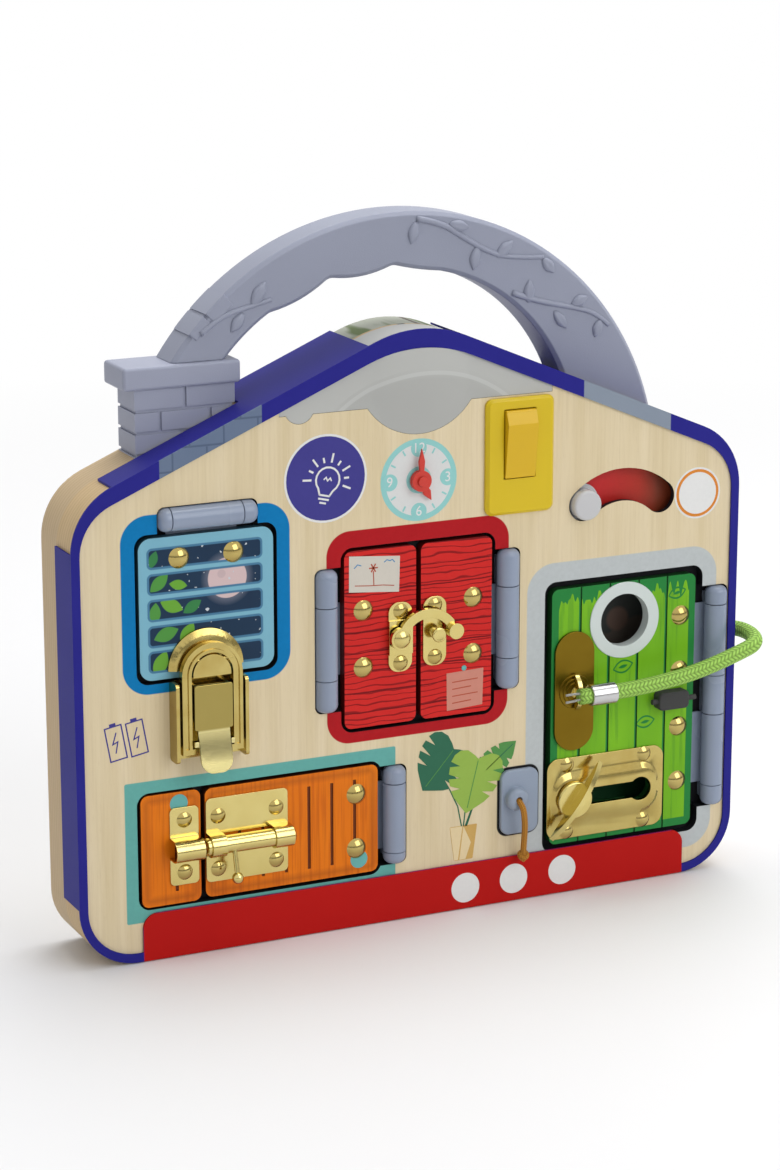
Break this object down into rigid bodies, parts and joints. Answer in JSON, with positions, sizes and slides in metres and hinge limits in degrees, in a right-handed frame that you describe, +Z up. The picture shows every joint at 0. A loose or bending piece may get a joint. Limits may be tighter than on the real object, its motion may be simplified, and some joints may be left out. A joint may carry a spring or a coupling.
{
  "type": "latch board",
  "caption": "House-shaped wooden practice board with hinged doors, assorted latches, a clock, a sliding button, a lamp switch and a moulded carrying arch",
  "frame": {"origin": "middle of the wooden body's flat underside, on the seam of its two layers", "axes": "+X to the right seen from the front, +Y to the back, +Z up"},
  "size_m": [0.2997, 0.0528, 0.284],
  "materials": {
    "birch": "printed birch plywood",
    "back_wood": "grey-tan painted plywood",
    "card": "printed navy card with a red foot",
    "picture_print": "printed thin board",
    "moulded_blue": "moulded grey-blue plastic",
    "hinge_blue": "satin grey-blue plastic",
    "brass": "polished brass plate",
    "rivet_brass": "polished brass head",
    "steel": "plain steel",
    "blue_paint": "printed night-window board",
    "red_paint": "red printed door",
    "orange_paint": "orange printed door",
    "green_paint": "green printed door",
    "white_plastic": "white plastic",
    "lamp_plastic": "milky translucent plastic",
    "yellow_plastic": "yellow plastic",
    "yellow_rocker": "yellow plastic",
    "red_plastic": "red plastic",
    "grey_plastic": "grey plastic",
    "black_plastic": "black plastic",
    "circuit": "circuit board with lamps",
    "slot_brown": "red-brown printed board",
    "green_cord": "braided cord",
    "orange_cord": "braided cord"
  },
  "bodies": {
    "board": {"front_board": "birch", "rear_board": "back_wood", "card_surround": "card", "picture_boards": "picture_print", "handle_arch": "moulded_blue", "chimney": "moulded_blue", "lamp_cover": "lamp_plastic", "light_board": "circuit", "battery_box": "black_plastic", "battery_cells": "steel", "battery_cover": "grey_plastic", "battery_screw": "steel", "switch_plate": "yellow_plastic", "clock_pin": "red_plastic", "slot_backing": "slot_brown", "hinge_knuckles": "hinge_blue", "hinge_pins": "steel", "latch_base": "brass", "keeper_rivets": "rivet_brass", "orange_fixed_panel": "orange_paint", "bolt_keeper": "brass", "knob_plate": "grey_plastic", "orange_cord": "orange_cord", "green_cord": "green_cord"},
    "window": {"window_panel": "blue_paint", "window_leaf": "hinge_blue", "window_rivets": "rivet_brass", "window_strike": "brass"},
    "bail": {"latch_bail": "brass"},
    "lever": {"latch_lever": "brass"},
    "red_left": {"red_door_left": "red_paint", "red_left_leaf": "hinge_blue", "red_left_rivets": "rivet_brass", "hasp_plate": "brass"},
    "hasp": {"hasp_arm": "brass"},
    "red_right": {"red_door_right": "red_paint", "red_right_leaf": "hinge_blue", "red_right_rivets": "rivet_brass", "hasp_staple": "brass"},
    "orange_door": {"orange_door": "orange_paint", "orange_leaf": "hinge_blue", "orange_rivets": "rivet_brass", "bolt_guide": "brass"},
    "bolt": {"slide_bolt": "brass"},
    "green_door": {"green_door": "green_paint", "green_leaves": "hinge_blue", "green_rivets": "rivet_brass", "escutcheon": "brass", "slot_plate": "brass", "porthole_ring": "white_plastic", "cord_clip": "black_plastic", "ferrule": "steel"},
    "key": {"key": "brass"},
    "thumb_slide": {"slot_shoe": "steel"},
    "thumb_turn": {"thumb_turn": "brass"},
    "minute": {"minute_hand": "red_plastic"},
    "hour": {"hour_hand": "red_plastic"},
    "rocker": {"rocker": "yellow_rocker"},
    "slide_button": {"slide_button": "white_plastic"}
  },
  "joints": [
    {"name": "window_hinge", "type": "hinge", "parent": "board", "child": "window", "pos_m": [-0.0894, -0.0172, 0.1757], "axis": [-1, 0, 0], "range_deg": [0, 110]},
    {"name": "bail_pivot", "type": "hinge", "parent": "window", "child": "bail", "pos_m": [-0.0913, -0.0241, 0.121], "axis": [-1, 0, 0], "range_deg": [0, 12]},
    {"name": "lever_pivot", "type": "hinge", "parent": "board", "child": "lever", "pos_m": [-0.0913, -0.0235, 0.1095], "axis": [-1, 0, 0], "range_deg": [0, 80]},
    {"name": "red_left_hinge", "type": "hinge", "parent": "board", "child": "red_left", "pos_m": [-0.0401, -0.0172, 0.12], "axis": [0, 0, -1], "range_deg": [0, 120]},
    {"name": "red_right_hinge", "type": "hinge", "parent": "board", "child": "red_right", "pos_m": [0.0396, -0.0172, 0.12], "axis": [0, 0, 1], "range_deg": [0, 120]},
    {"name": "hasp_swing", "type": "hinge", "parent": "red_left", "child": "hasp", "pos_m": [-0.0096, -0.0217, 0.1185], "axis": [0, -1, 0], "range_deg": [0, 100]},
    {"name": "orange_hinge", "type": "hinge", "parent": "board", "child": "orange_door", "pos_m": [-0.0106, -0.0172, 0.045], "axis": [0, 0, 1], "range_deg": [0, 120]},
    {"name": "bolt_slide", "type": "slide", "parent": "orange_door", "child": "bolt", "axis": [1, 0, 0], "range_m": [-0.0022, 0.01]},
    {"name": "green_hinge", "type": "hinge", "parent": "board", "child": "green_door", "pos_m": [0.1363, -0.0172, 0.0756], "axis": [0, 0, 1], "range_deg": [0, 110], "deforming": ["green_cord"]},
    {"name": "key_turn", "type": "hinge", "parent": "green_door", "child": "key", "pos_m": [0.0696, -0.02, 0.0862], "axis": [0, 1, 0], "range_deg": [0, 90]},
    {"name": "thumb_travel", "type": "slide", "parent": "green_door", "child": "thumb_slide", "axis": [1, 0, 0], "range_m": [0, 0.0315]},
    {"name": "thumb_turning", "type": "hinge", "parent": "thumb_slide", "child": "thumb_turn", "pos_m": [0.069, -0.02, 0.0406], "axis": [0, 1, 0], "range_deg": [-50, 35]},
    {"name": "minute_turn", "type": "hinge", "parent": "board", "child": "minute", "pos_m": [-0.0004, -0.02, 0.181], "axis": [0, 1, 0], "continuous": true},
    {"name": "hour_turn", "type": "hinge", "parent": "board", "child": "hour", "pos_m": [-0.0004, -0.02, 0.181], "axis": [0, 1, 0], "continuous": true},
    {"name": "rocker_tilt", "type": "hinge", "parent": "board", "child": "rocker", "pos_m": [0.0428, -0.017, 0.192], "axis": [1, 0, 0], "range_deg": [0, 8]},
    {"name": "button_travel", "type": "hinge", "parent": "board", "child": "slide_button", "pos_m": [0.0907, -0.018, 0.144], "axis": [0, 1, 0], "range_deg": [0, 82]}
  ],
  "couplings": [
    {"joint": "red_right_hinge", "follows": "red_left_hinge", "ratio": 1}
  ]
}
